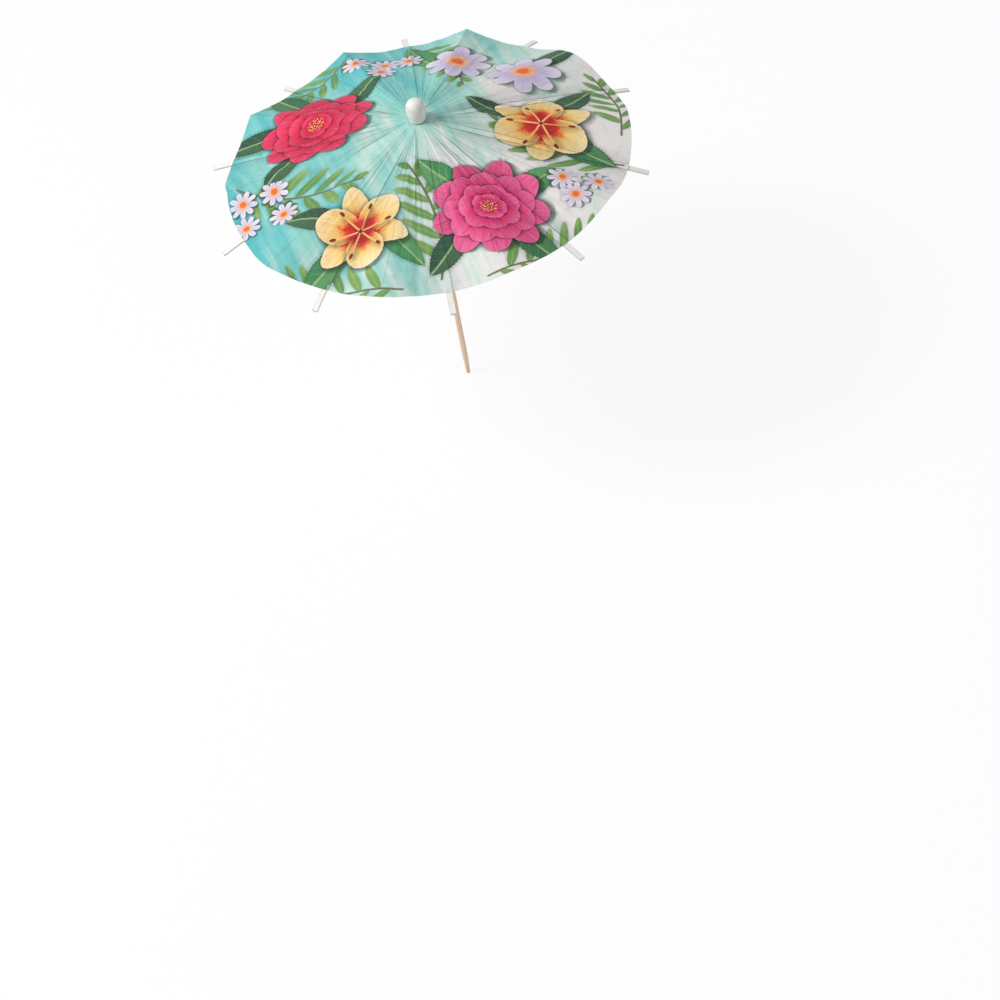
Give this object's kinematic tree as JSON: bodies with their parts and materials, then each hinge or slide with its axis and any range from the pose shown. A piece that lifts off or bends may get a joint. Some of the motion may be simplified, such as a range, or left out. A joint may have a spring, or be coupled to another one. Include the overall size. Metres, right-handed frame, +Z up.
{
  "type": "cocktail umbrella pick",
  "caption": "Paper cocktail umbrella on a wooden pick: a creased, flower-printed canopy on card ribs opens and folds as a rolled sleeve slides along the stick.",
  "frame": {"origin": "on the stick's axis at the top of its thinned shank, the deepest level to which the pick is pushed in", "axes": "+Z runs up the stick to the cap, and the first rib points to -Y"},
  "size_m": [0.1054, 0.1106, 0.0883],
  "materials": {
    "birch": "plain unvarnished birch, fine straight grain",
    "cap_plastic": "white moulded plastic, satin",
    "printed_paper": "thin uncoated paper, turquoise wash with printed flowers, finely crinkled",
    "rib_card": "white card strip, cut edges",
    "rolled_card": "rolled white card, gummed lap",
    "rolled_newsprint": "rolled grey newsprint",
    "ring_plastic": "soft translucent white plastic band"
  },
  "bodies": {
    "pick": {"pick_stick": "birch", "top_cap": "cap_plastic", "paper_crown": "printed_paper", "hub_disc": "rib_card", "hub_collar": "rolled_card", "spacer_sleeve": "rolled_newsprint"},
    "runner": {"runner": "rolled_card"},
    "ring": {"retaining_ring": "ring_plastic"},
    "rib_01": {"rib_01": "rib_card", "rib_paper_01": "printed_paper"},
    "panel_01_right": {"panel_01_right": "printed_paper"},
    "panel_01_left": {"panel_01_left": "printed_paper"},
    "strut_01": {"strut_01": "rib_card"},
    "rib_02": {"rib_02": "rib_card", "rib_paper_02": "printed_paper"},
    "panel_02_right": {"panel_02_right": "printed_paper"},
    "panel_02_left": {"panel_02_left": "printed_paper"},
    "strut_02": {"strut_02": "rib_card"},
    "rib_03": {"rib_03": "rib_card", "rib_paper_03": "printed_paper"},
    "panel_03_right": {"panel_03_right": "printed_paper"},
    "panel_03_left": {"panel_03_left": "printed_paper"},
    "strut_03": {"strut_03": "rib_card"},
    "rib_04": {"rib_04": "rib_card", "rib_paper_04": "printed_paper"},
    "panel_04_right": {"panel_04_right": "printed_paper"},
    "panel_04_left": {"panel_04_left": "printed_paper"},
    "strut_04": {"strut_04": "rib_card"},
    "rib_05": {"rib_05": "rib_card", "rib_paper_05": "printed_paper"},
    "panel_05_right": {"panel_05_right": "printed_paper"},
    "panel_05_left": {"panel_05_left": "printed_paper"},
    "strut_05": {"strut_05": "rib_card"},
    "rib_06": {"rib_06": "rib_card", "rib_paper_06": "printed_paper"},
    "panel_06_right": {"panel_06_right": "printed_paper"},
    "panel_06_left": {"panel_06_left": "printed_paper"},
    "strut_06": {"strut_06": "rib_card"},
    "rib_07": {"rib_07": "rib_card", "rib_paper_07": "printed_paper"},
    "panel_07_right": {"panel_07_right": "printed_paper"},
    "panel_07_left": {"panel_07_left": "printed_paper"},
    "strut_07": {"strut_07": "rib_card"},
    "rib_08": {"rib_08": "rib_card", "rib_paper_08": "printed_paper"},
    "panel_08_right": {"panel_08_right": "printed_paper"},
    "panel_08_left": {"panel_08_left": "printed_paper"},
    "strut_08": {"strut_08": "rib_card"},
    "rib_09": {"rib_09": "rib_card", "rib_paper_09": "printed_paper"},
    "panel_09_right": {"panel_09_right": "printed_paper"},
    "panel_09_left": {"panel_09_left": "printed_paper"},
    "strut_09": {"strut_09": "rib_card"},
    "rib_10": {"rib_10": "rib_card", "rib_paper_10": "printed_paper"},
    "panel_10_right": {"panel_10_right": "printed_paper"},
    "panel_10_left": {"panel_10_left": "printed_paper"},
    "strut_10": {"strut_10": "rib_card"}
  },
  "joints": [
    {"name": "runner_slide", "type": "slide", "parent": "pick", "child": "runner", "axis": [0, 0, -1], "range_m": [0, 0.02422]},
    {"name": "ring_slide", "type": "slide", "parent": "pick", "child": "ring", "axis": [0, 0, -1], "range_m": [0, 0.02422]},
    {"name": "rib_01_fold", "type": "hinge", "parent": "pick", "child": "rib_01", "pos_m": [0, -0.003, 0.04612], "axis": [1, 0, 0], "range_deg": [0, 65.61]},
    {"name": "panel_01_right_fold", "type": "hinge", "parent": "rib_01", "child": "panel_01_right", "pos_m": [0.00097, -0.003, 0.04612], "axis": [0, -0.9593, -0.2823], "range_deg": [0, 56.22]},
    {"name": "panel_01_left_fold", "type": "hinge", "parent": "rib_01", "child": "panel_01_left", "pos_m": [-0.00097, -0.003, 0.04612], "axis": [0, 0.9593, 0.2823], "range_deg": [0, 56.22]},
    {"name": "strut_01_fold", "type": "hinge", "parent": "rib_01", "child": "strut_01", "pos_m": [0, -0.02005, 0.0403], "axis": [-1, 0, 0], "range_deg": [0, 131.21]},
    {"name": "rib_02_fold", "type": "hinge", "parent": "pick", "child": "rib_02", "pos_m": [0.00176, -0.00243, 0.04612], "axis": [0.809, 0.5878, 0], "range_deg": [0, 65.61]},
    {"name": "panel_02_right_fold", "type": "hinge", "parent": "rib_02", "child": "panel_02_right", "pos_m": [0.00255, -0.00185, 0.04612], "axis": [0.5639, -0.7761, -0.2823], "range_deg": [0, 56.22]},
    {"name": "panel_02_left_fold", "type": "hinge", "parent": "rib_02", "child": "panel_02_left", "pos_m": [0.00097, -0.003, 0.04612], "axis": [-0.5639, 0.7761, 0.2823], "range_deg": [0, 56.22]},
    {"name": "strut_02_fold", "type": "hinge", "parent": "rib_02", "child": "strut_02", "pos_m": [0.01179, -0.01622, 0.0403], "axis": [-0.809, -0.5878, 0], "range_deg": [0, 131.21]},
    {"name": "rib_03_fold", "type": "hinge", "parent": "pick", "child": "rib_03", "pos_m": [0.00285, -0.00093, 0.04612], "axis": [0.309, 0.9511, 0], "range_deg": [0, 65.61]},
    {"name": "panel_03_right_fold", "type": "hinge", "parent": "rib_03", "child": "panel_03_right", "pos_m": [0.00315, 0, 0.04612], "axis": [0.9124, -0.2964, -0.2823], "range_deg": [0, 56.22]},
    {"name": "panel_03_left_fold", "type": "hinge", "parent": "rib_03", "child": "panel_03_left", "pos_m": [0.00255, -0.00185, 0.04612], "axis": [-0.9124, 0.2964, 0.2823], "range_deg": [0, 56.22]},
    {"name": "strut_03_fold", "type": "hinge", "parent": "rib_03", "child": "strut_03", "pos_m": [0.01907, -0.0062, 0.0403], "axis": [-0.309, -0.9511, 0], "range_deg": [0, 131.21]},
    {"name": "rib_04_fold", "type": "hinge", "parent": "pick", "child": "rib_04", "pos_m": [0.00285, 0.00093, 0.04612], "axis": [-0.309, 0.9511, 0], "range_deg": [0, 65.61]},
    {"name": "panel_04_right_fold", "type": "hinge", "parent": "rib_04", "child": "panel_04_right", "pos_m": [0.00255, 0.00185, 0.04612], "axis": [0.9124, 0.2964, -0.2823], "range_deg": [0, 56.22]},
    {"name": "panel_04_left_fold", "type": "hinge", "parent": "rib_04", "child": "panel_04_left", "pos_m": [0.00315, 0, 0.04612], "axis": [-0.9124, -0.2964, 0.2823], "range_deg": [0, 56.22]},
    {"name": "strut_04_fold", "type": "hinge", "parent": "rib_04", "child": "strut_04", "pos_m": [0.01907, 0.0062, 0.0403], "axis": [0.309, -0.9511, 0], "range_deg": [0, 131.21]},
    {"name": "rib_05_fold", "type": "hinge", "parent": "pick", "child": "rib_05", "pos_m": [0.00176, 0.00243, 0.04612], "axis": [-0.809, 0.5878, 0], "range_deg": [0, 65.61]},
    {"name": "panel_05_right_fold", "type": "hinge", "parent": "rib_05", "child": "panel_05_right", "pos_m": [0.00097, 0.003, 0.04612], "axis": [0.5639, 0.7761, -0.2823], "range_deg": [0, 56.22]},
    {"name": "panel_05_left_fold", "type": "hinge", "parent": "rib_05", "child": "panel_05_left", "pos_m": [0.00255, 0.00185, 0.04612], "axis": [-0.5639, -0.7761, 0.2823], "range_deg": [0, 56.22]},
    {"name": "strut_05_fold", "type": "hinge", "parent": "rib_05", "child": "strut_05", "pos_m": [0.01179, 0.01622, 0.0403], "axis": [0.809, -0.5878, 0], "range_deg": [0, 131.21]},
    {"name": "rib_06_fold", "type": "hinge", "parent": "pick", "child": "rib_06", "pos_m": [0, 0.003, 0.04612], "axis": [-1, 0, 0], "range_deg": [0, 65.61]},
    {"name": "panel_06_right_fold", "type": "hinge", "parent": "rib_06", "child": "panel_06_right", "pos_m": [-0.00097, 0.003, 0.04612], "axis": [0, 0.9593, -0.2823], "range_deg": [0, 56.22]},
    {"name": "panel_06_left_fold", "type": "hinge", "parent": "rib_06", "child": "panel_06_left", "pos_m": [0.00097, 0.003, 0.04612], "axis": [0, -0.9593, 0.2823], "range_deg": [0, 56.22]},
    {"name": "strut_06_fold", "type": "hinge", "parent": "rib_06", "child": "strut_06", "pos_m": [0, 0.02005, 0.0403], "axis": [1, 0, 0], "range_deg": [0, 131.21]},
    {"name": "rib_07_fold", "type": "hinge", "parent": "pick", "child": "rib_07", "pos_m": [-0.00176, 0.00243, 0.04612], "axis": [-0.809, -0.5878, 0], "range_deg": [0, 65.61]},
    {"name": "panel_07_right_fold", "type": "hinge", "parent": "rib_07", "child": "panel_07_right", "pos_m": [-0.00255, 0.00185, 0.04612], "axis": [-0.5639, 0.7761, -0.2823], "range_deg": [0, 56.22]},
    {"name": "panel_07_left_fold", "type": "hinge", "parent": "rib_07", "child": "panel_07_left", "pos_m": [-0.00097, 0.003, 0.04612], "axis": [0.5639, -0.7761, 0.2823], "range_deg": [0, 56.22]},
    {"name": "strut_07_fold", "type": "hinge", "parent": "rib_07", "child": "strut_07", "pos_m": [-0.01179, 0.01622, 0.0403], "axis": [0.809, 0.5878, 0], "range_deg": [0, 131.21]},
    {"name": "rib_08_fold", "type": "hinge", "parent": "pick", "child": "rib_08", "pos_m": [-0.00285, 0.00093, 0.04612], "axis": [-0.309, -0.9511, 0], "range_deg": [0, 65.61]},
    {"name": "panel_08_right_fold", "type": "hinge", "parent": "rib_08", "child": "panel_08_right", "pos_m": [-0.00315, 0, 0.04612], "axis": [-0.9124, 0.2964, -0.2823], "range_deg": [0, 56.22]},
    {"name": "panel_08_left_fold", "type": "hinge", "parent": "rib_08", "child": "panel_08_left", "pos_m": [-0.00255, 0.00185, 0.04612], "axis": [0.9124, -0.2964, 0.2823], "range_deg": [0, 56.22]},
    {"name": "strut_08_fold", "type": "hinge", "parent": "rib_08", "child": "strut_08", "pos_m": [-0.01907, 0.0062, 0.0403], "axis": [0.309, 0.9511, 0], "range_deg": [0, 131.21]},
    {"name": "rib_09_fold", "type": "hinge", "parent": "pick", "child": "rib_09", "pos_m": [-0.00285, -0.00093, 0.04612], "axis": [0.309, -0.9511, 0], "range_deg": [0, 65.61]},
    {"name": "panel_09_right_fold", "type": "hinge", "parent": "rib_09", "child": "panel_09_right", "pos_m": [-0.00255, -0.00185, 0.04612], "axis": [-0.9124, -0.2964, -0.2823], "range_deg": [0, 56.22]},
    {"name": "panel_09_left_fold", "type": "hinge", "parent": "rib_09", "child": "panel_09_left", "pos_m": [-0.00315, 0, 0.04612], "axis": [0.9124, 0.2964, 0.2823], "range_deg": [0, 56.22]},
    {"name": "strut_09_fold", "type": "hinge", "parent": "rib_09", "child": "strut_09", "pos_m": [-0.01907, -0.0062, 0.0403], "axis": [-0.309, 0.9511, 0], "range_deg": [0, 131.21]},
    {"name": "rib_10_fold", "type": "hinge", "parent": "pick", "child": "rib_10", "pos_m": [-0.00176, -0.00243, 0.04612], "axis": [0.809, -0.5878, 0], "range_deg": [0, 65.61]},
    {"name": "panel_10_right_fold", "type": "hinge", "parent": "rib_10", "child": "panel_10_right", "pos_m": [-0.00097, -0.003, 0.04612], "axis": [-0.5639, -0.7761, -0.2823], "range_deg": [0, 56.22]},
    {"name": "panel_10_left_fold", "type": "hinge", "parent": "rib_10", "child": "panel_10_left", "pos_m": [-0.00255, -0.00185, 0.04612], "axis": [0.5639, 0.7761, 0.2823], "range_deg": [0, 56.22]},
    {"name": "strut_10_fold", "type": "hinge", "parent": "rib_10", "child": "strut_10", "pos_m": [-0.01179, -0.01622, 0.0403], "axis": [-0.809, 0.5878, 0], "range_deg": [0, 131.21]}
  ],
  "couplings": [
    {"joint": "ring_slide", "follows": "runner_slide", "ratio": 1},
    {"joint": "rib_01_fold", "follows": "runner_slide", "rad_per_m": 47.268},
    {"joint": "panel_01_right_fold", "follows": "runner_slide", "rad_per_m": 40.502},
    {"joint": "panel_01_left_fold", "follows": "runner_slide", "rad_per_m": 40.502},
    {"joint": "strut_01_fold", "follows": "runner_slide", "rad_per_m": 94.536},
    {"joint": "rib_02_fold", "follows": "runner_slide", "rad_per_m": 47.268},
    {"joint": "panel_02_right_fold", "follows": "runner_slide", "rad_per_m": 40.502},
    {"joint": "panel_02_left_fold", "follows": "runner_slide", "rad_per_m": 40.502},
    {"joint": "strut_02_fold", "follows": "runner_slide", "rad_per_m": 94.536},
    {"joint": "rib_03_fold", "follows": "runner_slide", "rad_per_m": 47.268},
    {"joint": "panel_03_right_fold", "follows": "runner_slide", "rad_per_m": 40.502},
    {"joint": "panel_03_left_fold", "follows": "runner_slide", "rad_per_m": 40.502},
    {"joint": "strut_03_fold", "follows": "runner_slide", "rad_per_m": 94.536},
    {"joint": "rib_04_fold", "follows": "runner_slide", "rad_per_m": 47.268},
    {"joint": "panel_04_right_fold", "follows": "runner_slide", "rad_per_m": 40.502},
    {"joint": "panel_04_left_fold", "follows": "runner_slide", "rad_per_m": 40.502},
    {"joint": "strut_04_fold", "follows": "runner_slide", "rad_per_m": 94.536},
    {"joint": "rib_05_fold", "follows": "runner_slide", "rad_per_m": 47.268},
    {"joint": "panel_05_right_fold", "follows": "runner_slide", "rad_per_m": 40.502},
    {"joint": "panel_05_left_fold", "follows": "runner_slide", "rad_per_m": 40.502},
    {"joint": "strut_05_fold", "follows": "runner_slide", "rad_per_m": 94.536},
    {"joint": "rib_06_fold", "follows": "runner_slide", "rad_per_m": 47.268},
    {"joint": "panel_06_right_fold", "follows": "runner_slide", "rad_per_m": 40.502},
    {"joint": "panel_06_left_fold", "follows": "runner_slide", "rad_per_m": 40.502},
    {"joint": "strut_06_fold", "follows": "runner_slide", "rad_per_m": 94.536},
    {"joint": "rib_07_fold", "follows": "runner_slide", "rad_per_m": 47.268},
    {"joint": "panel_07_right_fold", "follows": "runner_slide", "rad_per_m": 40.502},
    {"joint": "panel_07_left_fold", "follows": "runner_slide", "rad_per_m": 40.502},
    {"joint": "strut_07_fold", "follows": "runner_slide", "rad_per_m": 94.536},
    {"joint": "rib_08_fold", "follows": "runner_slide", "rad_per_m": 47.268},
    {"joint": "panel_08_right_fold", "follows": "runner_slide", "rad_per_m": 40.502},
    {"joint": "panel_08_left_fold", "follows": "runner_slide", "rad_per_m": 40.502},
    {"joint": "strut_08_fold", "follows": "runner_slide", "rad_per_m": 94.536},
    {"joint": "rib_09_fold", "follows": "runner_slide", "rad_per_m": 47.268},
    {"joint": "panel_09_right_fold", "follows": "runner_slide", "rad_per_m": 40.502},
    {"joint": "panel_09_left_fold", "follows": "runner_slide", "rad_per_m": 40.502},
    {"joint": "strut_09_fold", "follows": "runner_slide", "rad_per_m": 94.536},
    {"joint": "rib_10_fold", "follows": "runner_slide", "rad_per_m": 47.268},
    {"joint": "panel_10_right_fold", "follows": "runner_slide", "rad_per_m": 40.502},
    {"joint": "panel_10_left_fold", "follows": "runner_slide", "rad_per_m": 40.502},
    {"joint": "strut_10_fold", "follows": "runner_slide", "rad_per_m": 94.536}
  ]
}
